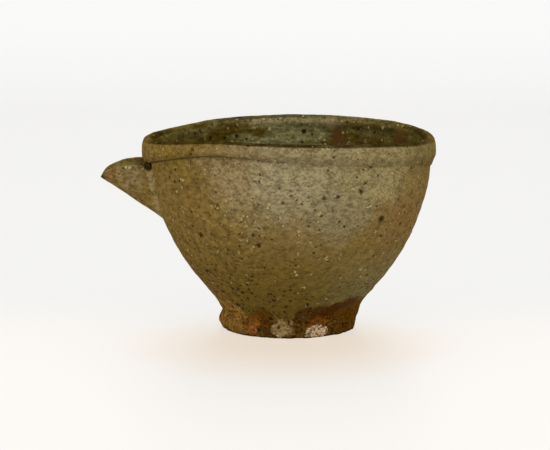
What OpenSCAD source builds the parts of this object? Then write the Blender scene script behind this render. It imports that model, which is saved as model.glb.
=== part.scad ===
// Katakuchi, a stoneware sake pourer: a thrown bowl with a folded rim, a luted spout and a ring foot.
// Units are millimetres. The origin is the centre of the standing face, +Z is up, the spout points to -X.

/* [Bowl] */
// Greatest outside diameter of the thrown wall
bowl_d = 116; // [106:1:130]
// Height at which the wall stands upright
wall_upright_z = 77; // [75:0.5:80]
// Radius of the wall's outside curve, seen from the side
wall_curve_r = 88; // [84:1:96]
// Thickness of the wall
wall_t = 4.5; // [3.5:0.1:6]
// Thickness of the floor at its centre
floor_t = 4.5; // [3:0.1:7]

/* [Rim] */
// Height of the rim's fold line at the sides
fold_z = 67.5; // [64:0.5:70]
// How much higher the fold line lies at the front and back
fold_rise = 8; // [3:0.5:8]
// Thickness of the fold's edge at the sides
fold_t = 0.5; // [0.3:0.1:1.2]
// How far the thrown lip stands up inside the fold
lip_tuck = 8.5; // [8:0.5:9.5]
// Height of the rolled rim, from the fold line at the sides to the crest
rim_h = 13.5; // [12.5:0.5:15]
// How far the rolled rim stands out beyond the wall
rim_out = 2.1; // [1.5:0.1:3]
// Radius of the roll's outside curve
rim_curve_r = 10.7; // [9.5:0.1:12]
// Rounding radius of the crest
crest_r = 2.4; // [1.8:0.1:3]

/* [Spout] */
// Outside diameter of the rolled spout
spout_d = 31; // [26:0.5:36]
// Thickness of the spout's wall
spout_t = 3.5; // [2.5:0.1:4.5]
// Slope of the spout's keel, in degrees
spout_pitch = 33.5; // [28:0.5:38]
// How far the spout's tip stands out from the bowl's wall
spout_out = 17.8; // [14:0.2:22]
// Gap between the rim's fold line and the spout's top edge
spout_gap = 1.1; // [0.6:0.1:3]
// How far the tip lies below the top edge
spout_drop = 5.4; // [4:0.1:7]
// Length of the lip that curves down to the tip
spout_lip = 12; // [9:0.5:14]
// Diameter of the pouring hole behind the spout
hole_d = 13; // [10:0.5:14]
// Clay left between the pouring hole and the level of the spout's top edge
hole_gap = 1.9; // [1:0.1:3]
// Thickness of the luting bead around the spout's root
bead_t = 1.5; // [0.8:0.1:2]

/* [Foot] */
// Diameter of the foot ring's standing edge
foot_d = 54.8; // [50:0.2:60]
// Height of the foot ring, up to the bowl's flat underside
foot_h = 9; // [8:0.5:12]
// Width of the foot ring's standing face
foot_w = 7; // [5:0.5:10]
// How far the foot ring swells outward at half its height
foot_swell = 1; // [0.6:0.1:1.4]
// Slope of the foot ring's inside face, in degrees
foot_draft = 8; // [0:1:15]
// How far the luting fillet reaches down the foot ring
fillet_down = 2.5; // [2:0.1:3]
// How far the luting fillet reaches up the bowl
fillet_up = 5.4; // [4:0.1:7]
// Clay that the luting fillet's hollow keeps over the corner of the ring and the bowl
fillet_t = 0.8; // [0.4:0.1:1.5]

/* [Kiln grit] */
// How far a crust of grit stands out from the foot
grit_t = 0.7; // [0.4:0.1:1.2]
// Radius of one lump of grit
grit_r = 4.5; // [3:0.5:6]
// Height of the grit's middle above the table
grit_z = 3.4; // [3:0.2:5]
// Clear height left between the grit and the table
grit_lift = 0.3; // [0.1:0.1:1]

/* [Hidden] */
$fn = 300;

// A length that reaches past the whole bowl, for cutters
far = 2*bowl_d;

// Wall: one circle outside and one inside about the same centre
wall_x = bowl_d/2 - wall_curve_r;
inner_r = wall_curve_r - wall_t;
function arc_at(r, z) = wall_x + sqrt(pow(r, 2) - pow(z - wall_upright_z, 2));
function wall_at(z) = arc_at(wall_curve_r, z);

// Floor: a dish that runs smoothly into the inside of the wall
floor_z = foot_h + floor_t;
dish_depth = wall_upright_z - floor_z;
dish_r = (pow(inner_r, 2) - pow(wall_x, 2) - pow(dish_depth, 2))/(2*(inner_r - dish_depth));
dish_z = floor_z + dish_r;
dish_edge = [far, dish_z + far*(wall_upright_z - dish_z)/wall_x];

// Rim: the roll's curve passes through the fold's edge and stands out beyond the wall
crest_z = fold_z + rim_h;
lip_z = fold_z + lip_tuck;
rim_r = bowl_d/2 + rim_out;
roll_x = rim_r - rim_curve_r;
roll_z = fold_z + sqrt(pow(rim_curve_r, 2) - pow(wall_at(fold_z) + fold_t - roll_x, 2));
// The roll's section reaches below the fold line, which lies on a wide trough along X
fold_low = fold_z - fold_t;
trough_r = (pow(rim_r, 2) + pow(fold_rise, 2))/(2*fold_rise);
// The crest is a small circle that touches the roll's curve from inside
crest_turn = asin((crest_z - crest_r - roll_z)/(rim_curve_r - crest_r));
crest = [roll_x + (rim_curve_r - crest_r)*cos(crest_turn), crest_z - crest_r];
// A straight face runs from the inside edge of the lip to the crest
lip = [arc_at(inner_r, lip_z), lip_z];
lip_run = norm(crest - lip);
face_turn = atan2(crest.y - lip.y, crest.x - lip.x) + asin(crest_r/lip_run);
face_run = sqrt(pow(lip_run, 2) - pow(crest_r, 2));

// Spout: a slanted tube, its lip cut along an arc from the level top edge to the tip
spout_r = spout_d/2;
spout_reach = bowl_d/2 + spout_out;
spout_top_z = fold_z - spout_gap;
tip_z = spout_top_z - spout_drop;
lip_arc_r = (pow(spout_lip, 2) + pow(spout_drop, 2))/(2*spout_drop);
hole_z = spout_top_z - hole_gap - hole_d/2;

// Foot: the ring's outside is an arc through both its edges and the swell
foot_r = foot_d/2;
foot_inside = foot_r - foot_w;
foot_lean = foot_h*tan(foot_draft);
swell_r = (pow(foot_h/2, 2) + pow(foot_swell, 2))/(2*foot_swell);
swell_x = foot_r + foot_swell - swell_r;
function foot_at(z) = swell_x + sqrt(pow(swell_r, 2) - pow(z - foot_h/2, 2));
// Fillet: a hollow curve from a point on the ring to a point on the bowl, drawn in towards their corner
base_r = wall_at(foot_h);
fillet_low_z = foot_h - fillet_down;
fillet_low = [foot_at(fillet_low_z), fillet_low_z];
fillet_top = [wall_at(foot_h + fillet_up), foot_h + fillet_up];
fillet_run = fillet_top - fillet_low;
fillet_away = [fillet_run.y, -fillet_run.x]/norm(fillet_run);
fillet_knee = [max(foot_r, base_r), foot_h] + fillet_t*fillet_away;
fillet_steps = 12;
function fillet_at(t) = pow(1 - t, 2)*fillet_low + 2*t*(1 - t)*fillet_knee + pow(t, 2)*fillet_top;
// The middle of the face where the ring and the bowl meet
foot_seat = [(foot_inside - foot_lean + min(foot_r, base_r))/2, foot_h];

// Grit: the lumps' turns from the front, in degrees, one row for each crust
grit_turns = [[-36, -28], [-6], [20, 28, 35]];

// One side of the axis, between two heights
module half_plane(low, high) {
  translate([0, low]) square([far, high - low]);
}

// Outside of the bowl from the flat underside up, filled to the axis
module bowl_blank(high, grow = 0) {
  intersection() {
    translate([wall_x, wall_upright_z]) circle(wall_curve_r + grow);
    half_plane(foot_h, high);
  }
}

// Inside of the bowl: the dish, and the wall's circle above the line where they touch
module bowl_hollow() {
  translate([0, dish_z]) circle(dish_r);
  intersection() {
    translate([wall_x, wall_upright_z]) circle(inner_r);
    polygon([[0, dish_z], dish_edge, [far, far], [0, far]]);
  }
}

// The roll and its crest, outside the thrown wall and above its lip
module roll_section() {
  face = lip + face_run*[cos(face_turn), sin(face_turn)];
  touch = crest + far*[cos(crest_turn), sin(crest_turn)];
  difference() {
    union() {
      translate(crest) circle(crest_r);
      intersection() {
        translate([roll_x, roll_z]) circle(rim_curve_r);
        polygon([lip, face, crest, touch, [touch.x, fold_low], [lip.x, fold_low]]);
      }
    }
    bowl_blank(lip_z);
  }
}

// Outside of the foot ring, filled to the axis
module foot_blank() {
  intersection() {
    translate([swell_x, foot_h/2]) circle(swell_r);
    half_plane(0, foot_h);
  }
}

module foot_section() {
  difference() {
    foot_blank();
    polygon([[0, 0], [foot_inside, 0], [foot_inside - foot_lean, foot_h], [0, foot_h]]);
  }
}

// A round bar on the spout's axis, which lies one spout radius above the keel
module spout_bar(r) {
  translate([-spout_reach, 0, tip_z]) rotate([0, spout_pitch - 90, 0])
    translate([spout_r, 0, 0]) cylinder(h = far, r = r, center = true);
}

// What lies under the spout's level top edge and its curved lip
module under_lip() {
  lip_start = spout_lip - spout_reach;
  rotate([90, 0, 0]) linear_extrude(height = far, center = true) {
    translate([lip_start, spout_top_z - lip_arc_r]) circle(lip_arc_r);
    translate([lip_start, foot_h]) square([-lip_start, spout_top_z - foot_h]);
  }
}

module bowl() {
  color("darkkhaki") difference() {
    rotate_extrude() difference() {
      bowl_blank(lip_z);
      bowl_hollow();
    }
    translate([-far, 0, hole_z]) rotate([0, 90, 0]) cylinder(h = far, r = hole_d/2);
  }
}

module rim_roll() {
  color("olivedrab") intersection() {
    rotate_extrude() roll_section();
    translate([0, 0, fold_z + trough_r]) rotate([0, 90, 0]) cylinder(h = far, r = trough_r, center = true);
  }
}

module spout() {
  color("tan") difference() {
    intersection() {
      spout_bar(spout_r);
      under_lip();
    }
    spout_bar(spout_r - spout_t);
    rotate_extrude() bowl_blank(lip_z);
  }
}

module spout_slip() {
  color("wheat") difference() {
    intersection() {
      spout_bar(spout_r + bead_t);
      rotate_extrude() bowl_blank(fold_z, bead_t);
      under_lip();
    }
    spout_bar(spout_r);
    rotate_extrude() bowl_blank(lip_z);
  }
}

module foot_ring() {
  color("saddlebrown") rotate_extrude() foot_section();
}

module foot_slip() {
  color("peru") rotate_extrude() difference() {
    polygon([foot_seat, for (i = [0:fillet_steps]) fillet_at(i/fillet_steps)]);
    bowl_blank(lip_z);
    foot_section();
  }
}

module kiln_grit() {
  color("linen") for (crust = grit_turns) difference() {
    intersection() {
      union() for (turn = crust)
        rotate(turn - 90) translate([foot_at(grit_z) + grit_t - grit_r, 0, grit_z]) sphere(grit_r);
      translate([0, 0, grit_lift]) cylinder(h = fillet_low_z - grit_lift, r = far);
    }
    rotate_extrude() foot_blank();
  }
}

bowl();
rim_roll();
spout();
spout_slip();
foot_ring();
foot_slip();
kiln_grit();
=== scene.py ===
import math
import random

import bpy
import numpy as np
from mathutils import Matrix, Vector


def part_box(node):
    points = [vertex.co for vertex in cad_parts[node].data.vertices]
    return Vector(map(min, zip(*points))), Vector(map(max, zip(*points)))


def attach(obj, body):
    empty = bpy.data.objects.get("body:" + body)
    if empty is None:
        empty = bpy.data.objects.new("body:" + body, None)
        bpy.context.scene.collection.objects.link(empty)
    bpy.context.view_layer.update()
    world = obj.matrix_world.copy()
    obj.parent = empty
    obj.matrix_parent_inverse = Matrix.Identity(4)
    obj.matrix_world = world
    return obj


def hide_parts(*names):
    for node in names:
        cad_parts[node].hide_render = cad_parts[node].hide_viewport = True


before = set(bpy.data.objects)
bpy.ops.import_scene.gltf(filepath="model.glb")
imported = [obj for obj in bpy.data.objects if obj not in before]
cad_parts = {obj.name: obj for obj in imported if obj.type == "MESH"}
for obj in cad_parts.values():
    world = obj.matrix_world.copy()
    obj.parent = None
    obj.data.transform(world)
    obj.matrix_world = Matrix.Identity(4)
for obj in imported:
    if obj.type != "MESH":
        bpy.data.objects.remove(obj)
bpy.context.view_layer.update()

# Shapes are worked out in millimetres and scaled to metres when they are drawn
MM = 0.001
# Steps once around a thrown piece
TURNS = 480
# Grit and grains are strewn by this one seed
chance = random.Random(5)

# Sizes from the frame, in millimetres
RIM_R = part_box("rim_roll")[1].x/MM
FOOT_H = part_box("foot_ring")[1].z/MM
LIP_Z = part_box("bowl")[1].z/MM
BOWL_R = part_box("bowl")[1].x/MM
SPOUT_TIP_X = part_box("spout")[0].x/MM
SPOUT_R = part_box("spout")[1].y/MM

# The wall is one arc outside and one inside, upright just under the lip, over a dished floor
WALL_UPRIGHT_Z = 77
WALL_CURVE_R = 88
WALL_T = 4.5
WALL_X = BOWL_R - WALL_CURVE_R
FLOOR_Z = 13.5
DISH_R = 51
DISH_TOP_Z = 45

# The rim as it is thrown, level all round, before the hand moves it
FOLD_Z = 71.5
CREST_Z = 80.6
# Heights of the finished fold line and crest, every 30 degrees from the front towards the right
FOLD_ROUND = [75.5, 73.4, 71.3, 68, 71, 74, 74.5, 73, 70.5, 67.6, 72.2, 76.7]
CREST_ROUND = [82, 81.2, 79.7, 79.6, 80.8, 81.6, 81.9, 80.9, 79, 79, 79.9, 82.3]
# How open the crack under the fold is, from 0 for a soft groove to 1 for a sharp crack
CRACK_ROUND = [0.3, 0.1, 0.1, 0.2, 0.6, 0.9, 0.5, 0.2, 0.4, 1, 1, 0.9]
# Height below which the pull of the uneven rim is no longer felt
SLACK_Z = 48
# The body stands a little to the right of its foot and rim, by so much at each height
LEAN_Z = [0, 10, 22, 34, 48, 62, 75]
LEAN = [0, 0.5, 0.9, 0.6, 0.4, 0.4, 0]

# Spout: a slanted tube, its lip falling from the level top edge to the tip, as distance out and height
SPOUT_PITCH = 33.5
SPOUT_T = 3.4
SPOUT_TIP_Z = 61
SPOUT_LIP = [(40, 68.6), (56, 68.5), (60, 68.5), (64, 68.45), (68, 68), (71, 67.2), (73.5, 66.1),
             (75.5, 64.8), (76.7, 63), (77.5, 61.4), (77.8, 59)]
HOLE_R = 6.5
HOLE_Z = 58

# Unevenness of the skin: breadth of the hand's dents, breadth and depth of the glaze's orange peel
DENT = 26
PEEL = 3.2
PEEL_DEPTH = 0.2
# Points closer than this are merged
DOUBLES = 0.002


# Shape helpers

def smooth(value, low, high):
    """0 below low, 1 above high, and a soft step between."""
    share = np.clip((value - low)/(high - low), 0, 1)
    return share*share*(3 - 2*share)


def bump_at(value, middle, width):
    """A soft bump of height 1."""
    return np.exp(-((value - middle)/width)**2)


def spline(p, q, r, s, t):
    """A share t of the way from q to r, on a smooth curve that comes from p and goes on to s."""
    return 0.5*(2*q + (r - p)*t + (2*p - 5*q + 4*r - s)*t**2 + (3*q - p - 3*r + s)*t**3)


def curve_through(points, steps):
    """Points on a smooth curve through the given points, with so many steps to each span."""
    ends = [points[0]] + list(points) + [points[-1]]
    run = []
    for span in zip(ends, ends[1:], ends[2:], ends[3:]):
        for step in range(steps):
            run.append(tuple(spline(*four, step/steps) for four in zip(*span)))
    return run + [tuple(points[-1])]


def around(stations, turn):
    """A value at any turn, in degrees, from values at even stations once around."""
    stations = np.array(stations, float)
    count = len(stations)
    place = np.asarray(turn)*count/360
    index = np.floor(place).astype(int)
    four = [stations[(index + shift) % count] for shift in (-1, 0, 1, 2)]
    return spline(*four, place - index)


def turn_of(points):
    """Degrees from the front, towards the right."""
    return np.degrees(np.arctan2(points[:, 0], -points[:, 1])) % 360


def wall_out(z):
    """Outer radius of the wall at a height."""
    return WALL_X + np.sqrt(WALL_CURVE_R**2 - (z - WALL_UPRIGHT_Z)**2)


def wall_in(z):
    """Inner radius of the wall at a height."""
    return WALL_X + np.sqrt((WALL_CURVE_R - WALL_T)**2 - (z - WALL_UPRIGHT_Z)**2)


def lean_at(z):
    return np.interp(z, LEAN_Z, LEAN)


# Places on the finished skin, by a turn in degrees and a height

def at_turn(radius, turn, z):
    """A point at a turn from the front."""
    return (radius*math.sin(math.radians(turn)), -radius*math.cos(math.radians(turn)), z)


def on_wall(turn, z):
    """A point on the outside of the wall or rim."""
    radius = float(wall_out(z)) if z < 70 else RIM_R - 0.4
    x, y, z = at_turn(radius, turn, z)
    return (x + float(lean_at(z)), y, z)


def inside_wall(turn, z):
    """A point on the inside of the wall or rim, by its turn from the back."""
    x, y, z = at_turn(53.5 + 0.3*max(z - 76, 0), turn, z)
    return (x, -y, z)


def on_foot(turn, z):
    """A point on the outside of the foot."""
    return at_turn(28 + 0.3*max(z - 8, 0), turn, z)


# Bench helpers

def deselect():
    bpy.ops.object.select_all(action="DESELECT")


def take_up(piece):
    deselect()
    piece.select_set(True)
    bpy.context.view_layer.objects.active = piece


def named(name):
    """Names the piece in hand and its mesh."""
    piece = bpy.context.active_object
    piece.name = name
    piece.data.name = name
    return piece


def points_of(piece):
    """The points of a piece, in millimetres."""
    flat = np.empty(3*len(piece.data.vertices))
    piece.data.vertices.foreach_get("co", flat)
    return flat.reshape(-1, 3)/MM


def set_points(piece, points):
    piece.data.vertices.foreach_set("co", (points*MM).ravel())
    piece.data.update()


def draw(name, outline):
    """Draws a line point by point in the upright plane through X, and leaves it in edit mode."""
    deselect()
    bpy.ops.mesh.primitive_plane_add(size=MM)
    piece = named(name)
    bpy.ops.object.mode_set(mode="EDIT")
    bpy.ops.mesh.merge(type="CENTER")
    here = (0, 0)
    for index, there in enumerate(outline):
        step = ((there[0] - here[0])*MM, 0, (there[1] - here[1])*MM)
        if index == 0:
            bpy.ops.transform.translate(value=step)
        else:
            bpy.ops.mesh.extrude_vertices_move(TRANSFORM_OT_translate={"value": step})
        here = there
    bpy.ops.mesh.select_all(action="SELECT")
    return piece


def tidy_up():
    """Merges doubles, turns the faces outwards and leaves edit mode."""
    bpy.ops.mesh.select_all(action="SELECT")
    bpy.ops.mesh.remove_doubles(threshold=DOUBLES*MM)
    bpy.ops.mesh.normals_make_consistent(inside=False)
    bpy.ops.object.mode_set(mode="OBJECT")


def turn_outwards(piece):
    """Turns the faces outwards after a bend that left them inside out."""
    take_up(piece)
    bpy.ops.object.mode_set(mode="EDIT")
    bpy.ops.mesh.select_all(action="SELECT")
    bpy.ops.mesh.normals_make_consistent(inside=False)
    bpy.ops.object.mode_set(mode="OBJECT")


def throw(name, section, turns=TURNS):
    """Spins a section once around the axis, as on the wheel."""
    piece = draw(name, section)
    bpy.ops.mesh.spin(steps=turns, angle=2*math.pi, center=(0, 0, 0), axis=(0, 0, 1))
    tidy_up()
    return piece


def slab(name, outline, width):
    """A flat outline made a slab, with half its width on each side of the upright plane."""
    piece = draw(name, outline + outline[:1])
    bpy.ops.mesh.remove_doubles(threshold=DOUBLES*MM)
    bpy.ops.mesh.edge_face_add()
    bpy.ops.transform.translate(value=(0, -width/2*MM, 0))
    bpy.ops.mesh.extrude_region_move(TRANSFORM_OT_translate={"value": (0, width*MM, 0)})
    tidy_up()
    return piece


def finish_with(piece, kind, name, **settings):
    """Adds one modifier and applies it."""
    take_up(piece)
    change = piece.modifiers.new(name, kind)
    for key, value in settings.items():
        setattr(change, key, value)
    bpy.ops.object.modifier_apply(modifier=name)


def combine(piece, tool, operation):
    """Cuts a piece with a tool, or joins or trims it to it, and puts the tool away."""
    finish_with(piece, "BOOLEAN", operation.lower(), object=tool, operation=operation, solver="MANIFOLD")
    bpy.data.objects.remove(tool)


def roughen(piece, name, grain, depth, group=""):
    """Pushes the skin in and out by a soft noise, with its grain and depth in millimetres."""
    clouds = bpy.data.textures.new(name, type="CLOUDS")
    clouds.noise_scale = grain*MM
    clouds.noise_depth = 2
    finish_with(piece, "DISPLACE", name, texture=clouds, texture_coords="LOCAL", strength=depth*MM,
                mid_level=0.5, vertex_group=group)


def soften(piece, voxel, rounds):
    """Remeshes a cut piece evenly and rounds its edges, as a wet finger does."""
    finish_with(piece, "REMESH", "even", mode="VOXEL", voxel_size=voxel*MM)
    finish_with(piece, "SMOOTH", "round", factor=0.5, iterations=rounds)


def weigh(piece, name, weights):
    """Keeps a weight at each point, for a noise to follow."""
    group = piece.vertex_groups.new(name=name)
    for index, weight in enumerate(weights):
        group.add([index], float(weight), "REPLACE")


def mark(piece, name, values):
    """Keeps one value at each point, for the materials to read."""
    attribute = piece.data.attributes.new(name, "FLOAT", "POINT")
    attribute.data.foreach_set("value", values.astype(np.float32))


def smooth_skin(piece, angle=45):
    """Shades a piece smooth, apart from edges sharper than an angle in degrees."""
    take_up(piece)
    bpy.ops.object.shade_smooth_by_angle(angle=math.radians(angle))


def by_hand(points):
    """Moves a level thrown shape to the uneven fold line, crest and lean of the finished one."""
    x, y, z = points.T
    turn = turn_of(points)
    fold = around(FOLD_ROUND, turn)
    crest = around(CREST_ROUND, turn)
    below = z + smooth(z, SLACK_Z, FOLD_Z)*(fold - FOLD_Z)
    above = fold + (z - FOLD_Z)*(crest - fold)/(CREST_Z - FOLD_Z)
    height = np.where(z < FOLD_Z, below, above)
    return np.column_stack([x + lean_at(height), y, height])


# Bowl

# Height from one throwing ring to the next, and their depth inside and outside
THROWING_PITCH = 5.5
RING_INSIDE = 0.16
RING_OUTSIDE = 0.05


def bowl_section():
    underside = [(0, 10.2), (4, 10), (8, 9.7), (12, 9.4), (16, 9.15), (20, 9)]
    outside = [(wall_out(z), z) for z in np.linspace(FOOT_H, LIP_Z, 92)]
    lip = [(BOWL_R - 1.5, LIP_Z), (BOWL_R - 3, LIP_Z)]
    inside = [(wall_in(z), z) for z in np.linspace(LIP_Z, DISH_TOP_Z, 30)]
    start = math.asin((FLOOR_Z + DISH_R - DISH_TOP_Z)/DISH_R)
    dish = [(DISH_R*math.cos(turn), FLOOR_Z + DISH_R - DISH_R*math.sin(turn))
            for turn in np.linspace(start, math.pi/2, 40)[1:]]
    return underside + outside + lip + inside + dish


def make_bowl():
    bowl = throw("bowl_body", bowl_section())
    points = points_of(bowl)
    radius = np.hypot(points[:, 0], points[:, 1])
    z = points[:, 2]
    middle = wall_out(np.clip(z, FOOT_H, LIP_Z)) - WALL_T/2
    inner = (radius < middle) & (z > FLOOR_Z - 0.5)
    turn = turn_of(points)
    crack = around(CRACK_ROUND, turn)
    mark(bowl, "inside", inner.astype(float))
    # Painted shade, with pooled glaze, in the crease under the fold, darker where it is cracked open
    mark(bowl, "groove", np.where(inner, 0, (0.4 + 0.6*crack)*bump_at(z, FOLD_Z, 1.2 - 0.8*crack)))
    weigh(bowl, "skin", np.where(inner, 1 - smooth(z, 68, 75), 1))
    # Throwing rings climb once around and fade out under the rim
    climb = np.sin(2*np.pi*z/THROWING_PITCH + np.radians(turn))
    ring = np.where(inner, RING_INSIDE, RING_OUTSIDE)*climb*(1 - smooth(z, 64, 72))
    outward = np.column_stack([points[:, 0], points[:, 1], 0*z])/np.maximum(radius, 1)[:, None]
    set_points(bowl, by_hand(points + outward*ring[:, None]))
    roughen(bowl, "slow dents", DENT, 0.8, "skin")
    roughen(bowl, "orange peel", PEEL, PEEL_DEPTH, "skin")
    combine(bowl, hole_cutter(), "DIFFERENCE")
    combine(bowl, pit_cutter(), "DIFFERENCE")
    smooth_skin(bowl)
    return bowl


# The pouring hole widens to both sides: distance from the middle of the wall, and how much wider
HOLE_FLARE = [(-12, 4), (-3.2, 1.4), (-1.6, 0.3), (0, 0), (1.4, 0.3), (3, 1.4), (5, 3)]


def hole_cutter():
    """A bar with flared ends, so that the pouring hole has no sharp edge."""
    middle = BOWL_R - WALL_T/2
    flank = [(HOLE_R + wider, middle + away) for away, wider in HOLE_FLARE]
    cutter = throw("hole_cutter", [(0, flank[0][1])] + flank + [(0, flank[-1][1])], 64)
    points = points_of(cutter)
    set_points(cutter, np.column_stack([-points[:, 2], points[:, 1], points[:, 0] + HOLE_Z]))
    mark(cutter, "inside", np.ones(len(points)))
    return cutter


# A pit where the crack under the fold runs into the root of the spout
PIT = (-56.4, -15.3, 68.7)
PIT_R = 1.5


def pit_cutter():
    deselect()
    bpy.ops.mesh.primitive_ico_sphere_add(subdivisions=3, radius=PIT_R*MM, location=[c*MM for c in PIT],
                                          scale=(1, 1.2, 1.3))
    cutter = named("pit_cutter")
    bpy.ops.object.transform_apply(location=True, rotation=True, scale=True)
    roughen(cutter, "ragged pit", 1.5, 0.7)
    return cutter


# Rim

# Radius beyond which the roll faces outwards, and that of the hollow behind its fold
ROLL_OUT_R = 58.05
FOLD_BACK_R = 57.7


def rim_section():
    """Radius, and share of the way from the fold line to the crest, once round the rolled band."""
    seam = (LIP_Z - FOLD_Z)/(CREST_Z - FOLD_Z)
    inside_r = wall_in(LIP_Z)
    seen = [(inside_r, seam), (53.6, 0.6), (53.85, 0.7), (54.3, 0.81), (55, 0.91), (56, 0.975),
            (57.1, 1), (58.3, 0.985), (59.25, 0.92), (59.8, 0.8), (60.1, 0.62), (60.15, 0.44),
            (59.95, 0.26), (59.6, 0.11), (59.15, 0.02), (58.6, 0), (58.1, 0.05), (57.85, 0.14)]
    hidden = [(57.9, 0.3), (wall_out(LIP_Z), seam), (56, seam), (inside_r, seam)]
    return [(r, FOLD_Z + share*(CREST_Z - FOLD_Z)) for r, share in curve_through(seen, 4) + hidden]


def make_rim():
    rim = throw("rim_band", rim_section())
    points = points_of(rim)
    radius = np.hypot(points[:, 0], points[:, 1])
    share = (points[:, 2] - FOLD_Z)/(CREST_Z - FOLD_Z)
    outer = radius > ROLL_OUT_R
    crack = around(CRACK_ROUND, turn_of(points))
    mark(rim, "inside", 1 - smooth(radius, 56, 57.6))
    # The crest is painted dark brown: partly the glaze breaking brown on the edge, partly painted shade on
    # its upward face
    mark(rim, "crest", smooth(share, 0.81, 0.9))
    depth = (0.4 + 0.6*crack)*bump_at(share, 0, 0.14 - 0.09*crack)
    # Painted shade: the under side of the roll is made darker, and so is the crease of its fold, where glaze
    # also pools
    underside_shade = 0.45*(1 - smooth(share, 0.02, 0.5))
    mark(rim, "groove", np.where(radius > FOLD_BACK_R, np.maximum(depth, underside_shade), 0))
    weigh(rim, "skin", np.where(outer, 1, smooth(share, 0.5, 0.7)))
    # Where the fold is pressed shut, its edge lies lower and close to the wall
    shut = 1 - crack
    edge = np.where(outer, 1 - smooth(share, 0, 0.4), 0)
    pressed = radius - 1.15*shut*edge
    points[:, :2] *= (pressed/radius)[:, None]
    points[:, 2] -= 0.8*shut*np.where(outer, 1 - smooth(share, 0, 0.2), 0)
    set_points(rim, by_hand(points))
    roughen(rim, "slow dents", DENT, 0.6, "skin")
    roughen(rim, "finger marks", 9, 0.25, "skin")
    roughen(rim, "orange peel", PEEL, PEEL_DEPTH, "skin")
    smooth_skin(rim)
    return rim


# Spout

def spout_bar(name, radius):
    """A round bar on the spout's axis, which lies one spout radius above the keel."""
    slope = math.radians(SPOUT_PITCH)
    x = SPOUT_TIP_X + SPOUT_R*math.sin(slope)
    z = SPOUT_TIP_Z + SPOUT_R*math.cos(slope)
    deselect()
    bpy.ops.mesh.primitive_cylinder_add(vertices=160, radius=radius*MM, depth=100*MM,
                                        location=(x*MM, 0, z*MM), rotation=(0, math.pi/2 + slope, 0))
    bar = named(name)
    bpy.ops.object.transform_apply(location=True, rotation=True, scale=True)
    return bar


def under_lip(name):
    """What lies under the spout's lip."""
    low = SPOUT_TIP_Z - 40
    lip = [(-out, z) for out, z in curve_through(SPOUT_LIP, 5)]
    return slab(name, [(lip[0][0], low)] + lip + [(lip[-1][0], low)], 4*SPOUT_R)


def bowl_core(name, inset):
    """The bowl's outside, filled and set in, to trim what is luted on."""
    wall = [(wall_out(z) - inset, z) for z in np.linspace(FOOT_H, LIP_Z, 40)]
    return throw(name, [(0, FOOT_H)] + wall + [(0, LIP_Z)], 240)


def make_spout():
    spout = spout_bar("pouring_spout", SPOUT_R)
    combine(spout, under_lip("lip_trim"), "INTERSECT")
    combine(spout, spout_bar("spout_bore", SPOUT_R - SPOUT_T), "DIFFERENCE")
    combine(spout, bowl_core("root_trim", 2), "DIFFERENCE")
    soften(spout, 0.4, 9)
    points = points_of(spout)
    # The lip dips where it runs in under the rim
    root = smooth(points[:, 0], -60, -56)
    points[:, 2] -= 1.1*root*smooth(points[:, 2], 64, 68)
    # The keel is a little hollow, as a thumb leaves it
    points[:, 2] += 0.5*bump_at(points[:, 0], -69, 5)*(1 - smooth(points[:, 2], 59, 64))
    set_points(spout, points)
    # The lip's upward edges are painted dark through the crest mark: painted shade, more on the far side
    under = np.interp(-points[:, 0], *zip(*SPOUT_LIP)) - points[:, 2]
    mark(spout, "crest", (1 - smooth(under, 0.6, 2))*np.where(points[:, 1] > 0, 0.7, 0.4))
    roughen(spout, "slow dents", 12, 0.6)
    roughen(spout, "orange peel", PEEL, PEEL_DEPTH)
    combine(spout, pit_cutter(), "DIFFERENCE")
    smooth_skin(spout)
    return spout


# Section of the slip in the corner: distance along the spout, distance along the wall
SLIP_SEEN = [(4.6, -0.25), (3.8, 0.05), (2.2, 0.25), (1, 0.45), (0.5, 0.85), (0.25, 1.5), (0.05, 2),
             (-0.25, 2.4)]
SLIP_HIDDEN = [(-1.2, 2), (-1.2, -1.2), (2.4, -1.2)]
# How far the slip goes up each side of the spout, in degrees from the keel
SLIP_TURN = 95
# How far along the spout the wall is looked for, and how often that stretch is halved
WALL_SEARCH = 40.0
HALVINGS = 40


def meet_wall(start, axis):
    """Where lines along the spout's axis meet the outside of the wall, found by halving."""
    near = np.zeros(len(start))
    far = np.full(len(start), WALL_SEARCH)
    for _ in range(HALVINGS):
        reach = (near + far)/2
        spot = start + np.outer(reach, axis)
        radius = np.hypot(spot[:, 0] - lean_at(spot[:, 2]), spot[:, 1])
        clear = radius > wall_out(np.clip(spot[:, 2], FOOT_H, LIP_Z))
        near = np.where(clear, reach, near)
        far = np.where(clear, far, reach)
    return spot


def wall_normal(spot):
    """The way that the wall faces at points on its outside."""
    x = spot[:, 0] - lean_at(spot[:, 2])
    rise = (spot[:, 2] - WALL_UPRIGHT_Z)/WALL_CURVE_R
    level = np.sqrt(1 - rise**2)/np.hypot(x, spot[:, 1])
    return np.column_stack([x*level, spot[:, 1]*level, rise])


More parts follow.
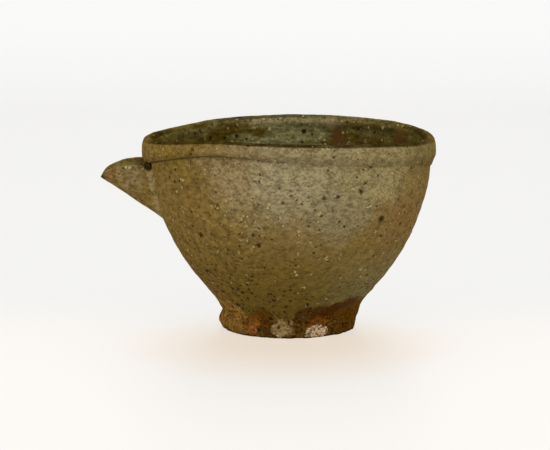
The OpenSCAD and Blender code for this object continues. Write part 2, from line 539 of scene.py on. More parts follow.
def make_spout_slip():
    """A smear of slip in the corner under the spout, from one top edge round the keel to the other."""
    coil_r = 10
    section = [(coil_r + along, up) for along, up in curve_through(SLIP_SEEN, 4) + SLIP_HIDDEN]
    slip = draw("spout_luting", section + section[:1])
    bpy.ops.mesh.spin(steps=120, angle=math.pi/2, center=(0, 0, 0), axis=(0, 0, 1))
    bpy.ops.mesh.select_all(action="SELECT")
    bpy.ops.mesh.remove_doubles(threshold=DOUBLES*MM)
    bpy.ops.mesh.fill_holes(sides=0)
    tidy_up()
    # The straight coil is bent round the tube and laid where the tube meets the wall
    points = points_of(slip)
    along = np.hypot(points[:, 0], points[:, 1]) - coil_r
    up = points[:, 2]
    share = np.abs(np.arctan2(points[:, 1], points[:, 0]))/(math.pi/2)
    turn = np.radians(SLIP_TURN)*(2*share - 1)
    # Least slip is left under the keel
    thin = 0.35 + 0.65*smooth(np.abs(2*share - 1), 0.1, 0.6)
    along = np.where(along > 0, along*thin, along)
    up = np.where(up > 0, up*thin, up)
    slope = math.radians(SPOUT_PITCH)
    axis = np.array([math.cos(slope), 0, -math.sin(slope)])
    lift = np.array([math.sin(slope), 0, math.cos(slope)])
    outward = np.outer(np.sin(turn), (0, 1, 0)) - np.outer(np.cos(turn), lift)
    spot = meet_wall(np.array([SPOUT_TIP_X, 0, SPOUT_TIP_Z]) + SPOUT_R*(lift + outward), axis)
    normal = wall_normal(spot)
    on_face = outward - normal*np.sum(outward*normal, axis=1)[:, None]
    on_face /= np.linalg.norm(on_face, axis=1)[:, None]
    set_points(slip, spot - np.outer(along, axis) + on_face*up[:, None])
    mark(slip, "slip", 1 - smooth(np.maximum(along/4.4, up/2.3), 0.6, 1.05))
    roughen(slip, "slip smears", 4, 0.7)
    roughen(slip, "slip grain", 1.2, 0.2)
    turn_outwards(slip)
    smooth_skin(slip)
    return slip


# Foot

def foot_by_hand(points):
    """The ring bulges on the left, with a notch above, and runs straight into the body on the right."""
    radius = np.hypot(points[:, 0], points[:, 1])
    z = points[:, 2]
    turn = np.radians(turn_of(points))
    left = smooth(np.cos(turn - math.radians(265)), 0.1, 0.9)
    right = smooth(np.cos(turn - math.radians(80)), 0.1, 0.9)
    outside = smooth(radius, 25, 27)
    grow = left*(0.5*bump_at(z, 3.2, 1.8) - 0.75*bump_at(z, 7.4, 1.5))
    grow += right*(0.35*bump_at(z, 7.5, 2) - 0.35*bump_at(z, 3, 2))
    shaped = points.copy()
    shaped[:, :2] *= (1 + outside*grow/np.maximum(radius, 1))[:, None]
    return shaped


def make_foot_ring():
    flank = curve_through([(21.4, 0), (26.5, 0), (27.15, 0.35), (27.6, 1.4), (28.05, 2.9), (28.25, 4.6),
                           (28.2, 6.4), (27.6, 8.4)], 6)
    inside = curve_through([(26.5, 9.1), (19.6, 9.3), (19.8, 7.5), (20.3, 4), (20.7, 1), (21.4, 0)], 5)
    ring = throw("foot_ring_turned", flank + inside, 320)
    set_points(ring, foot_by_hand(points_of(ring)))
    roughen(ring, "turning marks", 5, 0.7)
    roughen(ring, "bare clay grain", 1.6, 0.3)
    points = points_of(ring)
    points[:, 2] = np.maximum(points[:, 2], 0)
    set_points(ring, points)
    smooth_skin(ring)
    return ring


def make_foot_slip():
    hollow = curve_through([(28, 5.2), (28.25, 6.8), (28.5, 8.2), (29.1, 9.8), (30.3, 11.8), (31.9, 13.9),
                            (33.6, 15.9), (34.8, 17.4)], 5)
    hidden = [(33.2, 17), (30, 13.5), (26.5, 10), (25.5, 8.4), (27, 6), (28, 5.2)]
    slip = throw("foot_luting", hollow + hidden, 320)
    points = foot_by_hand(points_of(slip))
    points[:, 0] += lean_at(points[:, 2])
    set_points(slip, points)
    roughen(slip, "fillet smears", 6, 0.6)
    roughen(slip, "bare clay grain", 1.6, 0.2)
    smooth_skin(slip)
    return slip


def lump(size, spot, stretch=(1, 1, 1), turn=(0, 0, 0)):
    """One small grain, with its size and place in millimetres."""
    bpy.ops.mesh.primitive_ico_sphere_add(subdivisions=1, radius=size*MM, location=[c*MM for c in spot],
                                          rotation=turn, scale=stretch)
    return bpy.context.active_object


def gather(name, lumps):
    """Joins grains into one piece."""
    deselect()
    for one in lumps:
        one.select_set(True)
    bpy.context.view_layer.objects.active = lumps[0]
    bpy.ops.object.join()
    piece = named(name)
    bpy.ops.object.transform_apply(location=True, rotation=True, scale=True)
    return piece


# Kiln grit: crusts on the foot, as first and last turn from the front, lowest and highest, and grains
GRIT_CRUSTS = [(-37, -26, 1.4, 5, 18), (-11, -5, 0.8, 1.6, 4), (13, 35, 0.8, 5.4, 130)]

# Outer radius of the foot at some heights, for the grit to sit on
FLANK_Z = [0, 1.4, 2.9, 4.6, 6.4]
FLANK_R = [27.1, 27.6, 28, 28.2, 28.4]
# Smallest and largest grain of grit
GRIT_SIZE = (0.35, 0.85)


def make_kiln_grit():
    lumps = []
    for first, last, low, high, count in GRIT_CRUSTS:
        for _ in range(count):
            across = chance.triangular(-1, 1, 0)
            turn = (first + last)/2 + across*(last - first)/2
            z = low + chance.uniform(0, 1)*(high - low)*math.sqrt(1 - across**2)
            size = chance.uniform(*GRIT_SIZE)
            radius = float(np.interp(z, FLANK_Z, FLANK_R))
            lumps.append(lump(size, at_turn(radius, turn, max(z, size))))
    grit = gather("kiln_grit_crusts", lumps)
    soften(grit, 0.22, 1)
    roughen(grit, "grit grain", 0.7, 0.6)
    points = points_of(grit)
    points[:, 2] = np.maximum(points[:, 2], 0.05)
    set_points(grit, points)
    smooth_skin(grit, 60)
    return grit


# Feldspar grains that show white on the outside: turn from the front and height
WHITE_GRAINS = [(-19, 53.2), (-30, 56.5), (13, 70.2), (4, 47), (12, 55), (14, 80.4), (26, 78.5),
                (25.5, 63.8), (-48, 66), (-8, 58), (33, 56), (-24, 38), (18, 36), (44, 70), (-62, 48),
                (2, 30)]
# Each is a few grains close together, and others are strewn over the sides and the back
GRAINS_TOGETHER = 3
GRAINS_STREWN = 40
# Share of its size that a grain is sunk by
SUNK = 0.35


def make_feldspar(bowl, rim):
    """Grains half sunk in the skin of the bowl and rim, the seen ones and others strewn all round."""
    places = []
    for turn, z in WHITE_GRAINS:
        for _ in range(GRAINS_TOGETHER):
            places.append((turn + chance.gauss(0, 0.7), z + chance.gauss(0, 0.6),
                           chance.uniform(0.35, 0.8)))
    for _ in range(GRAINS_STREWN):
        places.append((chance.uniform(50, 330), chance.uniform(22, 80), chance.uniform(0.3, 0.6)))
    lumps = []
    for turn, z, size in places:
        skin = bowl if z < around(FOLD_ROUND, turn) - 1 else rim
        _, spot, normal, _ = skin.closest_point_on_mesh([c*MM for c in on_wall(turn, z)])
        sunk = [c/MM - SUNK*size*n for c, n in zip(spot, normal)]
        stretch = [chance.uniform(0.6, 1.3) for _ in range(3)]
        lumps.append(lump(size, sunk, stretch, (chance.uniform(0, 3), chance.uniform(0, 3), 0)))
    grains = gather("feldspar_grains", lumps)
    smooth_skin(grains, 60)
    return grains


# Materials

class Value:
    """A socket in a node tree, with operators that add Math nodes."""

    def __init__(self, paint, socket):
        self.paint = paint
        self.socket = socket

    def math(self, operation, first, second):
        return self.paint.node("ShaderNodeMath", {"operation": operation}, {0: first, 1: second})

    def __add__(self, other):
        return self.math("ADD", self, other)

    def __radd__(self, other):
        return self.math("ADD", other, self)

    def __sub__(self, other):
        return self.math("SUBTRACT", self, other)

    def __rsub__(self, other):
        return self.math("SUBTRACT", other, self)

    def __mul__(self, other):
        return self.math("MULTIPLY", self, other)

    def __rmul__(self, other):
        return self.math("MULTIPLY", other, self)

    def __truediv__(self, other):
        return self.math("DIVIDE", self, other)

    def __rtruediv__(self, other):
        return self.math("DIVIDE", other, self)

    def __abs__(self):
        return self.math("ABSOLUTE", self, 0)


class Paint:
    """The node tree of a material or of the world."""

    def __init__(self, owner):
        owner.use_nodes = True
        self.owner = owner
        self.tree = owner.node_tree
        self.tree.nodes.clear()

    def node(self, kind, settings=None, inputs=None, output=0):
        """Any node, by its type, its settings, and then the values or links of its sockets."""
        made = self.tree.nodes.new(kind)
        for name, value in (settings or {}).items():
            setattr(made, name, value)
        for name, value in (inputs or {}).items():
            if isinstance(value, Value):
                self.tree.links.new(value.socket, made.inputs[name])
            else:
                made.inputs[name].default_value = value
        return Value(self, made.outputs[output]) if made.outputs else None

    def outputs(self, value):
        """Every output of the node that a value comes from, by name."""
        return {socket.name: Value(self, socket) for socket in value.socket.node.outputs}

    def vector(self, operation, first, second, output=0):
        """A Vector Math node on two vectors, or on a vector and a number that scales it."""
        other = "Scale" if operation == "SCALE" else 1
        return self.node("ShaderNodeVectorMath", {"operation": operation}, {0: first, other: second}, output)

    def place(self):
        """Object coordinates in millimetres."""
        return self.vector("SCALE", self.node("ShaderNodeTexCoord", output="Object"), 1/MM)

    def axes(self, place):
        parts = self.outputs(self.node("ShaderNodeSeparateXYZ", None, {0: place}))
        return parts["X"], parts["Y"], parts["Z"]

    def noise(self, place, size, detail=2.0, stretch=(1, 1, 1)):
        drawn = self.vector("MULTIPLY", place, stretch)
        return self.node("ShaderNodeTexNoise", None, {"Vector": drawn, "Scale": 1/size, "Detail": detail})

    def wander(self, place, size, reach):
        """A place moved about by a soft noise, to give patches uneven edges."""
        noise = self.node("ShaderNodeTexNoise", None, {
            "Vector": place, "Scale": 1/size, "Detail": 3.0}, "Color")
        moved = self.vector("SCALE", self.vector("SUBTRACT", noise, (0.5, 0.5, 0.5)), reach)
        return self.vector("ADD", place, moved)

    def step(self, value, low, high, bottom=0.0, top=1.0):
        """A soft step from bottom to top, while a value goes from low to high."""
        return self.node("ShaderNodeMapRange", {"interpolation_type": "SMOOTHSTEP"}, {
            "Value": value, "From Min": low, "From Max": high, "To Min": bottom, "To Max": top})

    def mix(self, share, first, second):
        """A share of the second colour over the first. A Mix node's colours are sockets 6, 7 and output 2."""
        first, second = (c if isinstance(c, Value) else (*c, 1) for c in (first, second))
        return self.node("ShaderNodeMix", {"data_type": "RGBA"}, {0: share, 6: first, 7: second}, 2)

    def shade(self, colour, share):
        """A colour made lighter or darker by a number."""
        return self.vector("SCALE", colour, share)

    def attribute(self, name):
        """A value that mark() kept at each point."""
        return self.node("ShaderNodeAttribute", {"attribute_name": name}, output="Fac")

    def near(self, place, point, reach, edge=0.5):
        """1 at a point, 0 beyond its reach, soft over a share of the reach."""
        gap = self.vector("DISTANCE", place, point, "Value")
        return self.step(gap, reach*(1 - edge), reach, 1, 0)

    def cells(self, place, size, feature):
        """Uneven cells of about one size."""
        return self.node("ShaderNodeTexVoronoi", {"feature": feature}, {"Vector": place, "Scale": 1/size})

    def specks(self, place, cell, share, small, large):
        """Round specks, one in a share of the cells, with radii from small to large."""
        cells = self.outputs(self.cells(place, cell, "F1"))
        lots = self.outputs(self.node("ShaderNodeSeparateColor", None, {0: cells["Color"]}))
        there = self.step(lots["Red"], share, share + 0.02, 1, 0)
        radius = (lots["Green"]*(large - small) + small)/cell
        return self.step(cells["Distance"]/radius, 0.7, 1, 1, 0)*there

    def crazing(self, place, cell):
        """Fine lines between cells."""
        return self.step(self.cells(place, cell, "DISTANCE_TO_EDGE"), 0.03, 0.12, 1, 0)

    def surface(self, colour, roughness, height, depth, shine=0.0):
        """Ends the material: colour, roughness, a bump so many millimetres high, and shine of the glaze."""
        bump = self.node("ShaderNodeBump", None, {"Height": height, "Distance": depth*MM, "Strength": 1.0})
        shader = self.node("ShaderNodeBsdfPrincipled", None, {
            "Base Color": colour, "Roughness": roughness, "Normal": bump, "Specular IOR Level": 0.0,
            "Coat Weight": shine, "Coat Roughness": 0.42})
        self.node("ShaderNodeOutputMaterial", None, {"Surface": shader})
        return self.owner


# Colours of the wall and rim
CLAY_BROWN = (0.188, 0.119, 0.03)
DULL_BROWN = (0.177, 0.109, 0.027)
THIN_BROWN = (0.125, 0.08, 0.016)
# Grey of thick ash; it also carries a painted sheen on the front shoulder and a painted highlight on the
# spout
ASH_AND_SHEEN_GREY = (0.31, 0.264, 0.148)
ASH_OLIVE = (0.275, 0.226, 0.1)
DIM_GREY = (0.19, 0.156, 0.078)
YELLOW_OLIVE = (0.2, 0.135, 0.018)
WARM_ORANGE = (0.175, 0.098, 0.03)
TAN_PINK = (0.275, 0.2, 0.095)
EDGE_GREY = (0.155, 0.115, 0.045)
LOW_BROWN = (0.122, 0.077, 0.013)
LOW_GREY = (0.15, 0.122, 0.048)
LOW_WARM = (0.17, 0.088, 0.02)
FOLD_DARK = (0.035, 0.024, 0.004)
CREST_BROWN = (0.019, 0.011, 0.001)
# Near black of iron spots and pits, also used for the painted shadow along the bottom of the foot and the
# painted shade in the pit
IRON_AND_SHADOW = (0.018, 0.008, 0.001)
FELDSPAR = (0.52, 0.41, 0.17)
FELDSPAR_DULL = (0.26, 0.19, 0.075)
FELDSPAR_BRIGHT = (0.57, 0.46, 0.2)

# Colours of the inside
INSIDE_GREEN = (0.208, 0.184, 0.074)
INSIDE_BROWN = (0.082, 0.054, 0.006)
INSIDE_TAN = (0.21, 0.165, 0.075)
STAIN_RED = (0.1, 0.045, 0.01)

# Colours of the spout
PALE_SLIP = (0.28, 0.21, 0.09)
TIP_ORANGE = (0.27, 0.13, 0.055)
TIP_GREEN = (0.23, 0.195, 0.06)

# Colours of the foot and the grit on it
FOOT_TAN = (0.13, 0.078, 0.016)
FOOT_BROWN = (0.29, 0.15, 0.03)
FOOT_DARK = (0.098, 0.038, 0.002)
FOOT_RED = (0.055, 0.015, 0.001)
FOOT_ORANGE = (0.18, 0.052, 0.005)
FOOT_MAROON = (0.085, 0.03, 0.002)
FOOT_RUST = (0.15, 0.048, 0.004)
FOOT_GREEN = (0.36, 0.255, 0.105)
FOOT_SAND = (0.32, 0.18, 0.045)
FLASH_ORANGE = (0.27, 0.085, 0.01)
SCORCH = (0.04, 0.012, 0.001)
GRIT_BROWN = (0.19, 0.1, 0.038)
GRIT_PALE = (0.72, 0.54, 0.33)
GRIT_SCORCH = (0.17, 0.06, 0.012)

# Broad patches of glaze on the wall: turn from the front, height, reach, share, colour. The grey patch on the
# front shoulder is ash with a painted sheen
GLAZE_PATCHES = [
    (-60, 55, 40, 0.8, DULL_BROWN), (4, 66, 41, 0.95, ASH_AND_SHEEN_GREY), (14, 72, 28, 0.5, ASH_OLIVE),
    (42, 70, 36, 0.85, ASH_OLIVE), (22, 54, 22, 0.5, DIM_GREY), (56, 48, 24, 0.85, WARM_ORANGE),
    (88, 58, 26, 0.8, EDGE_GREY), (80, 75, 34, 0.9, DULL_BROWN), (64, 78, 20, 0.75, EDGE_GREY),
    (-50, 73, 8, 0.6, YELLOW_OLIVE), (-24, 70, 17, 0.8, TAN_PINK), (-6, 41, 27, 0.8, DULL_BROWN),
    (150, 62, 44, 0.8, ASH_OLIVE), (205, 66, 30, 0.7, ASH_AND_SHEEN_GREY), (235, 45, 36, 0.7, WARM_ORANGE),
    (120, 40, 26, 0.6, WARM_ORANGE)]
# Patches on the foot, the same way. The red ones along the top of the foot at the front are red flashing
# darkened with painted shade where the body meets the foot
FOOT_PATCHES = [
    (-60, 6, 14, 0.8, FOOT_BROWN), (14, 9.8, 5, 0.85, FOOT_RED), (24, 10.2, 5, 0.9, FOOT_RED),
    (36, 11.5, 6, 1, FOOT_RED), (50, 13, 7, 0.95, FOOT_RED), (-21, 9.2, 4.5, 0.85, FOOT_MAROON),
    (-30, 6, 4.5, 0.7, FOOT_RUST), (-30, 3.6, 3.6, 0.95, FLASH_ORANGE), (-17, 4, 4, 0.7, FOOT_RED),
    (-5, 4, 5, 0.95, FOOT_GREEN), (24, 6, 5.4, 0.7, FOOT_ORANGE), (8, 5, 5, 0.6, FOOT_DARK),
    (48, 5, 9, 0.9, FOOT_DARK), (66, 6, 12, 0.9, FOOT_DARK), (110, 7, 14, 0.8, FOOT_RED),
    (170, 6, 16, 0.8, FOOT_RED), (215, 7, 9, 0.5, FOOT_RUST), (280, 9, 5, 0.4, FOOT_RED),
    (-58, 24, 15, 0.45, LOW_WARM)]
# Patches on the spout: place, reach, share, colour. The grey one under the near lip is a painted highlight
SPOUT_PATCHES = [((-65, -15, 64), 10, 0.3, ASH_AND_SHEEN_GREY), ((-72.5, -12, 64.5), 6, 0.55, TIP_ORANGE),
                 ((-69, 11, 64), 9, 0.8, TIP_GREEN)]
# White grains in the near lip of the spout: place, reach
SPOUT_GRAINS = [((-65.9, -14.9, 67.8), 0.65), ((-64.1, -15, 67.7), 0.75)]
# The near edge of the tip is darker, and painted shade darkens the root round the pouring hole
TIP_DARK = [(-77.2, -3, 62.3), (-76.2, -6.5, 63)]
ROOT_SHADE = (-59, 0, 57)
# Iron spots on the wall and rim: turn from the front, height, radius
IRON_SPOTS = [
    (41.5, 50.8, 1.4), (29, 63, 0.9), (13.5, 60.8, 0.9), (19.5, 61.2, 0.8), (-4, 65.2, 0.8),
    (-14, 41.8, 1.0), (-43, 43.8, 1.1), (-19.5, 71.5, 0.8), (-38.5, 78.8, 0.8), (-15.5, 82, 0.7),
    (23.5, 49, 0.8), (150, 55, 1.4), (205, 40, 1.1), (120, 34, 1.2)]
# Their torn edges eat into them, so that they are drawn so many times larger
SPOT_SPREAD = 1.6
# Marks on the far wall inside: turn from the back, height, reach, share, colour
INSIDE_MARKS = [
    (7, 75, 1.5, 0.95, IRON_AND_SHADOW), (-25, 73.5, 1, 0.9, IRON_AND_SHADOW), (-31, 73, 0.9, 0.9, IRON_AND_SHADOW),
    (-39, 73.5, 1.1, 0.9, IRON_AND_SHADOW), (-20, 72, 0.8, 0.9, IRON_AND_SHADOW), (34, 77, 0.9, 0.8, IRON_AND_SHADOW),
    (43, 76, 0.9, 0.8, IRON_AND_SHADOW), (24, 73, 5, 0.8, STAIN_RED), (62, 73, 8, 0.8, STAIN_RED),
    (20, 78.8, 4, 0.45, TAN_PINK), (-9, 76, 0.9, 0.8, FELDSPAR), (-16, 78.5, 0.9, 0.8, FELDSPAR),
    (13, 78, 0.8, 0.7, FELDSPAR), (26, 75, 0.8, 0.7, FELDSPAR)]

# Sizes of the pattern in the fired skin
PATCH = 5
BLOTCH = 2.8
MOTTLE = 1.1
FINE = 0.5
CRAZE = 2.6
# Noise is drawn out level, as the wheel leaves it
LEVEL_BANDS = (0.25, 0.25, 1)
LEVEL_STREAKS = (0.3, 0.3, 1)
# Specks: size of a cell, share of the cells that have one, smallest and largest radius
FRECKLES = (2.8, 0.5, 0.5, 1.2)
PITS = (2.4, 0.4, 0.25, 0.75)
GRAINS = (2.8, 0.4, 0.25, 0.85)
POCKS = (2.1, 0.6, 0.35, 1)
FLECKS = (1.9, 0.35, 0.3, 0.85)


class Skin:
    """What the layers of the fired skin share: places, noises, and the marks kept on the pieces."""

    def __init__(self, paint):
        place = paint.place()
        self.place = place
        self.x, self.y, self.z = paint.axes(place)
        # The place moved about, for edges from loose to torn
        self.loose = paint.wander(place, 12, 26)
        self.uneven = paint.wander(place, 4, 7)
        self.ragged = paint.wander(place, 1, 1.2)
        self.torn = paint.wander(place, 0.9, 2)
        self.patch = paint.noise(place, PATCH)
        self.mottle = paint.noise(place, MOTTLE, 4)
        self.fine = paint.noise(place, FINE, 2)
        self.pits = paint.specks(self.ragged, *PITS)
        self.grains = paint.specks(self.torn, *GRAINS)
        self.crest = paint.attribute("crest")
        self.inside = paint.attribute("inside")
        self.outside = 1 - self.inside
        self.middle = paint.step(abs(self.x), 12, 46, 1, 0.15)
        # Bare clay shows at the foot
        self.bare = paint.step(self.z + (self.patch - 0.5)*12, 8, 12, 1, 0)*self.outside


def wall_glaze(paint, skin):
    """Brown clay under patches of ash, duller on the rim and darker towards the foot."""
    colour = CLAY_BROWN
    for turn, height, reach, share, tone in GLAZE_PATCHES:
        colour = paint.mix(paint.near(skin.loose, on_wall(turn, height), reach, 0.8)*share, colour, tone)
    for spot, reach, share, tone in SPOUT_PATCHES:
        colour = paint.mix(paint.near(skin.uneven, spot, reach, 0.6)*share, colour, tone)
    rim = paint.step(skin.z, 74, 77)*paint.step(skin.x, 0, 30, 0.25, 0.08)
    colour = paint.mix(rim, colour, DULL_BROWN)
    low = paint.step(skin.z + (skin.patch - 0.5)*16, 14, 51, 0.9, 0)
    return paint.mix(low, colour, paint.mix(paint.step(skin.x, 2, 34), LOW_BROWN, LOW_GREY))


def hollow_glaze(paint, skin):
    """Level bands of green and brown inside, with a dark line on the right and a paler rim."""
    bands = paint.noise(skin.place, PATCH, 3, LEVEL_BANDS)
    colour = paint.mix(paint.step(bands, 0.4, 0.57)*skin.middle, INSIDE_BROWN, INSIDE_GREEN)
    line = paint.step(abs(skin.z - 77.6), 0.4, 1.5, 0.6, 0)*paint.step(skin.x, -8, 12)
    colour = paint.mix(line, colour, FOLD_DARK)
    colour = paint.mix(paint.step(skin.z, 78.6, 80.2)*skin.middle*0.8, colour, INSIDE_TAN)
    streaks = paint.noise(skin.place, 1.5, 3, LEVEL_STREAKS)
    return paint.shade(colour, 1 + (streaks - 0.5)*1.6)


def foot_flashes(paint, skin, colour):
    """Bare clay at the foot, flashed red and orange by the fire."""
    colour = paint.mix(skin.bare*0.85, colour, FOOT_TAN)
    for turn, height, reach, share, tone in FOOT_PATCHES:
        there = paint.near(skin.uneven, on_foot(turn, height), reach, 0.35)*share
        colour = paint.mix(there*skin.outside, colour, tone)
    return colour


def slip_fold_and_painted_shade(paint, skin, colour):
    """Pale slip beside the spout, painted shade in the fold and under the roll, the dark crest, partly
    painted shade, the darker tip edge and painted shade round the pouring hole.
    """
    smear = paint.step(skin.patch, 0.3, 0.6, 0.4, 1)*paint.step(skin.y, -14, 4, 1, 0.3)
    colour = paint.mix(paint.attribute("slip")*smear, colour, PALE_SLIP)
    # Painted shade in the crease of the fold and on the under side of the roll
    colour = paint.mix(paint.attribute("groove")*0.75, colour, FOLD_DARK)
    # The crest is painted dark brown: partly the glaze breaking brown on the edge, partly painted shade on
    # upward faces; patchy, and less at the rim's ends and on the back
    crest_patches = paint.step(skin.patch, 0.35, 0.6, 0.85, 1)*paint.step(abs(skin.x), 52, 59, 1, 0.4)
    far = paint.step(skin.y, 12, 30)*paint.step(abs(skin.x + 8), 14, 36, 0.25, 0.7)
    colour = paint.mix(skin.crest*crest_patches*(1 - far), colour, CREST_BROWN)
    # The near edge of the tip is made darker
    for spot in TIP_DARK:
        colour = paint.mix(paint.near(skin.place, spot, 3, 0.7)*0.85, colour, FOLD_DARK)
    # Painted shade in the root of the spout round the pouring hole
    return paint.mix(paint.near(skin.place, ROOT_SHADE, 8, 0.7)*0.9, colour, FOLD_DARK)


def ash_grain(paint, skin, colour):
    """Thin places in the ash, the light and dark of its grain, and painted light and shade on its small
    bumps.
    """
    blotch = paint.noise(skin.place, BLOTCH, 4, (1, 1, 1.3))
    thin = paint.step(skin.mottle + blotch*0.6, 0.66, 0.86, 0.32, 0)*skin.outside*(1 - skin.bare)
    colour = paint.mix(thin, colour, THIN_BROWN)
    # Painted light and shade: every small bump is lighter on its upper side and darker below, as if lit from
    # above
    above = paint.vector("ADD", skin.place, (0, 0, 0.5))
    painted_relief_light = skin.mottle - paint.noise(above, MOTTLE, 4)
    light = 1.05 + painted_relief_light*0.8 + (skin.mottle - 0.5)*(skin.inside*0.9 + 0.4) + (skin.fine - 0.5)*0.2
    light = light + (blotch - 0.5)*paint.step(skin.x, -32, -4, 1.8, 1.1)
    return paint.shade(colour, light)


def strewn_specks(paint, skin, colour):
    """Crazing, dark freckles, pits and pocks, scorch and sand on the bare foot, and pale grains."""
    crazing = paint.crazing(skin.ragged, CRAZE)*paint.step(skin.patch, 0.4, 0.6)
    freckles = paint.specks(skin.ragged, *FRECKLES)
    pocks = paint.specks(skin.ragged, *POCKS)*paint.step(skin.z + skin.x*0.4, 10, 44, 1, 0)
    scorch = paint.step(paint.noise(skin.ragged, 0.9, 4, (1, 1, 1.4)), 0.48, 0.6)*skin.bare
    sand = paint.step(paint.noise(skin.ragged, 0.7, 3), 0.58, 0.68)*skin.bare
    grains = skin.grains*paint.step(skin.z, 10, 17, 0.2, 1)
    on_left = paint.near(skin.loose, on_wall(-24, 54), 28, 0.8)*0.8
    flecks = paint.specks(skin.torn, *FLECKS)*(on_left + skin.inside*skin.middle*(1 - skin.crest)*0.9)
    layers = [(crazing, 0.3, FOLD_DARK), (freckles, 0.35, FOLD_DARK), (skin.pits, 0.75, IRON_AND_SHADOW),
              (pocks, 0.85, CREST_BROWN), (scorch, 0.7, SCORCH), (sand, 0.5, FOOT_SAND),
              (grains, 0.5, FELDSPAR), (flecks, 0.6, FELDSPAR)]
    for there, share, tone in layers:
        colour = paint.mix(there*share, colour, tone)
    return colour


def single_marks(paint, skin, colour):
    """Marks with a place of their own, from the iron spots to a painted shadow along the bottom of the foot.
    """
    for turn, height, radius in IRON_SPOTS:
        there = paint.near(skin.torn, on_wall(turn, height), radius*SPOT_SPREAD, 0.7)
        colour = paint.mix(there*0.9, colour, IRON_AND_SHADOW)
    for spot, reach in SPOUT_GRAINS:
        colour = paint.mix(paint.near(skin.ragged, spot, reach)*0.8, colour, FELDSPAR)
    for turn, height, reach, share, tone in INSIDE_MARKS:
        colour = paint.mix(paint.near(skin.ragged, inside_wall(turn, height), reach)*share, colour, tone)
    # The pit by the spout is near black: glaze pooled in it, and painted shade in the hollow
    colour = paint.mix(paint.near(skin.place, PIT, 2.8, 0.4)*0.97, colour, IRON_AND_SHADOW)
    # Painted shadow: a dark band along the bottom of the foot, where it stands on the table
    return paint.mix(paint.step(skin.z, 0.2, 1.2, 0.7, 0), colour, IRON_AND_SHADOW)


def fired_clay(name):
    """Wood-fired stoneware under ash: brown, grey and olive, darker inside, bare clay at the foot."""
    paint = Paint(bpy.data.materials.new(name))
    skin = Skin(paint)
    colour = paint.mix(skin.inside, wall_glaze(paint, skin), hollow_glaze(paint, skin))
    for layer in (foot_flashes, slip_fold_and_painted_shade, ash_grain, strewn_specks, single_marks):
        colour = layer(paint, skin, colour)
    roughness = 0.5 + (skin.mottle - 0.5)*0.4 + skin.bare*0.2
    relief = skin.mottle*0.6 + skin.fine*0.25 - skin.pits*0.6 + skin.grains*0.3
    # The glaze shines most where the ash is thickest
    shine = (paint.near(skin.loose, on_wall(8, 66), 38, 0.9)*0.12 + 0.04)*(1 - skin.crest)
    return paint.surface(colour, roughness, relief, 0.3, shine*(1 - skin.pits)*(1 - skin.bare))


def white_grain():
    """Feldspar grains, not quite white."""
    paint = Paint(bpy.data.materials.new("feldspar"))
    grain = paint.noise(paint.place(), 0.4, 2)
    colour = paint.mix(paint.step(grain, 0.35, 0.65), FELDSPAR_DULL, FELDSPAR_BRIGHT)
    return paint.surface(colour, 0.5 + (grain - 0.5)*0.3, grain, 0.1)


def fused_grit():
    """Rough pale grit, flashed orange where it meets the clay."""
    paint = Paint(bpy.data.materials.new("kiln_grit"))
    place = paint.place()
    x, _, z = paint.axes(place)
    grain = paint.noise(place, 0.6, 3)
    patch = paint.noise(place, 2.5, 2)
    pale = paint.mix(paint.step(grain, 0.38, 0.52), GRIT_BROWN, GRIT_PALE)
    colour = paint.mix(paint.step(z + (patch - 0.5)*4, 4.6, 6.2)*0.85, pale, GRIT_SCORCH)
    colour = paint.mix(paint.step(patch, 0.34, 0.5, 0.8, 0), colour, FOOT_RUST)
    colour = paint.mix(paint.step(x, -6, -10)*0.7, colour, FOOT_ORANGE)
    return paint.surface(colour, 0.8 + (grain - 0.5)*0.2, grain, 0.3)


# Scene

# Camera of the photo, in metres and degrees
EYE = (0, -0.9, 0.1803)
LOOK_DOWN = 8.73
LOOK_LEFT = 0.361
LENS = 144.9

# Table top: breadth and depth in metres, and the steps out and up by which it sweeps up behind
TABLE_SIZE = (6, 4, 1)
TABLE_FORWARD = (0, -1, 0)
SWEEP = [(0, 0.3, 0.08), (0, 0.2, 0.2), (0, 0.1, 1.2)]
# Its colours: in front, close to the foot a painted warm shadow, behind the bowl, and on the backdrop
TABLE_FRONT = (0.95, 0.92, 0.885)
TABLE_FOOT_SHADOW = (0.93, 0.81, 0.685)
TABLE_BACK = (0.87, 0.868, 0.86)
BACKDROP = (0.945, 0.945, 0.942)
TABLE_GLOSS = (0.96, 0.94, 0.92, 1)

# White lights the room, and a white that doesn't clip is what the camera sees
ROOM_WHITE = (1, 1, 1, 1)
ROOM_SEEN = (0.945, 0.935, 0.915, 1)


def set_camera():
    eye = bpy.data.cameras.new("photo_view")
    eye.sensor_width = 36
    eye.lens = LENS
    camera = bpy.data.objects.new("photo_view", eye)
    camera.location = EYE
    camera.rotation_euler = (math.radians(90 - LOOK_DOWN), 0, math.radians(LOOK_LEFT))
    bpy.context.scene.collection.objects.link(camera)
    bpy.context.scene.camera = camera


def table_sheet():
    """A flat sheet whose far edge is drawn up into a backdrop."""
    deselect()
    bpy.ops.mesh.primitive_plane_add(size=1)
    sheet = named("pale_floor")
    bpy.ops.object.mode_set(mode="EDIT")
    bpy.ops.transform.resize(value=TABLE_SIZE)
    bpy.ops.transform.translate(value=TABLE_FORWARD)
    bpy.ops.mesh.select_all(action="DESELECT")
    bpy.ops.object.mode_set(mode="OBJECT")
    for edge in sheet.data.edges:
        edge.select = all(sheet.data.vertices[v].co.y > 0 for v in edge.vertices)
    for vertex in sheet.data.vertices:
        vertex.select = vertex.co.y > 0
    bpy.ops.object.mode_set(mode="EDIT")
    for out_and_up in SWEEP:
        bpy.ops.mesh.extrude_region_move(TRANSFORM_OT_translate={"value": out_and_up})
    bpy.ops.object.mode_set(mode="OBJECT")
    smooth_skin(sheet, 80)
    return sheet


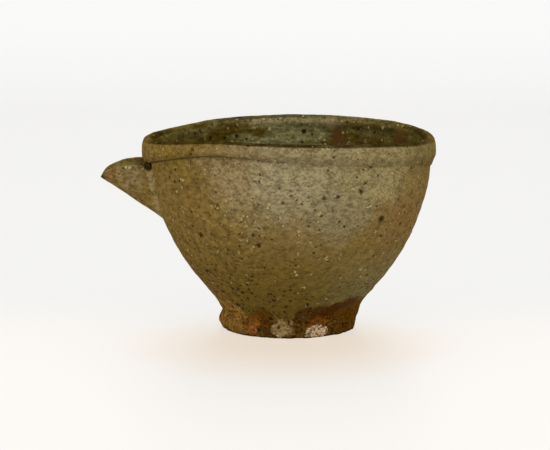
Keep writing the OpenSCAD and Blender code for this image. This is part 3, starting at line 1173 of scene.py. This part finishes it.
def table_white():
    """Pale table that keeps the shadow, with a warm shadow painted round the foot, and looks white to the
    camera and in a shiny or clear piece.
    """
    paint = Paint(bpy.data.materials.new("pale_floor"))
    rays = paint.outputs(paint.node("ShaderNodeLightPath"))
    mirrored = 1 - (1 - rays["Is Glossy Ray"])*(1 - rays["Is Transmission Ray"])
    place = paint.place()
    _, y, _ = paint.axes(place)
    # Painted warm shadow on the table round the foot
    foot_shadow = paint.step(paint.vector("DISTANCE", place, (0, -36, 0), "Value"), 12, 82, 1, 0)
    front = paint.mix(foot_shadow, TABLE_FRONT, TABLE_FOOT_SHADOW)
    table = paint.mix(paint.step(y, -40, 80), front, TABLE_BACK)
    tint = paint.mix(paint.step(y, 850, 1200), table, BACKDROP)
    sheet = paint.node("ShaderNodeBsdfPrincipled", None, {
        "Base Color": tint, "Roughness": 1.0, "Specular IOR Level": 0.0})
    glow = paint.node("ShaderNodeBsdfPrincipled", None, {
        "Base Color": (0, 0, 0, 1), "Specular IOR Level": 0.0,
        "Emission Color": tint, "Emission Strength": 1.0})
    gloss = paint.node("ShaderNodeBsdfGlossy", None, {"Color": TABLE_GLOSS, "Roughness": 0.4})
    polished = paint.node("ShaderNodeMixShader", None, {0: 0.6, 1: sheet, 2: gloss})
    white = rays["Is Camera Ray"]*0.8 + mirrored*0.88
    mixed = paint.node("ShaderNodeMixShader", None, {0: white, 1: polished, 2: glow})
    paint.node("ShaderNodeOutputMaterial", None, {"Surface": mixed})
    return paint.owner


def lay_floor():
    floor = table_sheet()
    floor.data.materials.append(table_white())


def set_light():
    """A white room and one large soft lamp overhead."""
    world = bpy.data.worlds.new("soft_room")
    bpy.context.scene.world = world
    paint = Paint(world)
    room = paint.node("ShaderNodeBackground", None, {"Color": ROOM_WHITE})
    wall = paint.node("ShaderNodeBackground", None, {"Color": ROOM_SEEN})
    seen = paint.outputs(paint.node("ShaderNodeLightPath"))["Is Camera Ray"]
    either = paint.node("ShaderNodeMixShader", None, {0: seen, 1: room, 2: wall})
    paint.node("ShaderNodeOutputWorld", None, {"Surface": either})
    box = bpy.data.lights.new("soft_box", "AREA")
    box.shape = "RECTANGLE"
    box.size = 2
    box.size_y = 1.4
    box.energy = 8
    lamp = bpy.data.objects.new("soft_box", box)
    lamp.location = (0, 0.4, 1.3)
    lamp.rotation_euler = (math.radians(-17), 0, 0)
    bpy.context.scene.collection.objects.link(lamp)


def dress(piece, material, node=None):
    """Gives a piece its material and its place in the frame."""
    piece.data.materials.clear()
    piece.data.materials.append(material)
    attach(piece, "root")
    if node:
        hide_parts(node)


bpy.context.scene.view_settings.view_transform = "Standard"
set_camera()
lay_floor()
set_light()
ash_glaze = fired_clay("ash_glazed_clay")
foot_clay = fired_clay("foot_clay")
bowl = make_bowl()
rim = make_rim()
dress(bowl, ash_glaze, "bowl")
dress(rim, ash_glaze, "rim_roll")
dress(make_spout(), ash_glaze, "spout")
dress(make_spout_slip(), fired_clay("luting_slip"), "spout_slip")
dress(make_foot_ring(), foot_clay, "foot_ring")
dress(make_foot_slip(), foot_clay, "foot_slip")
dress(make_kiln_grit(), fused_grit(), "kiln_grit")
dress(make_feldspar(bowl, rim), white_grain())
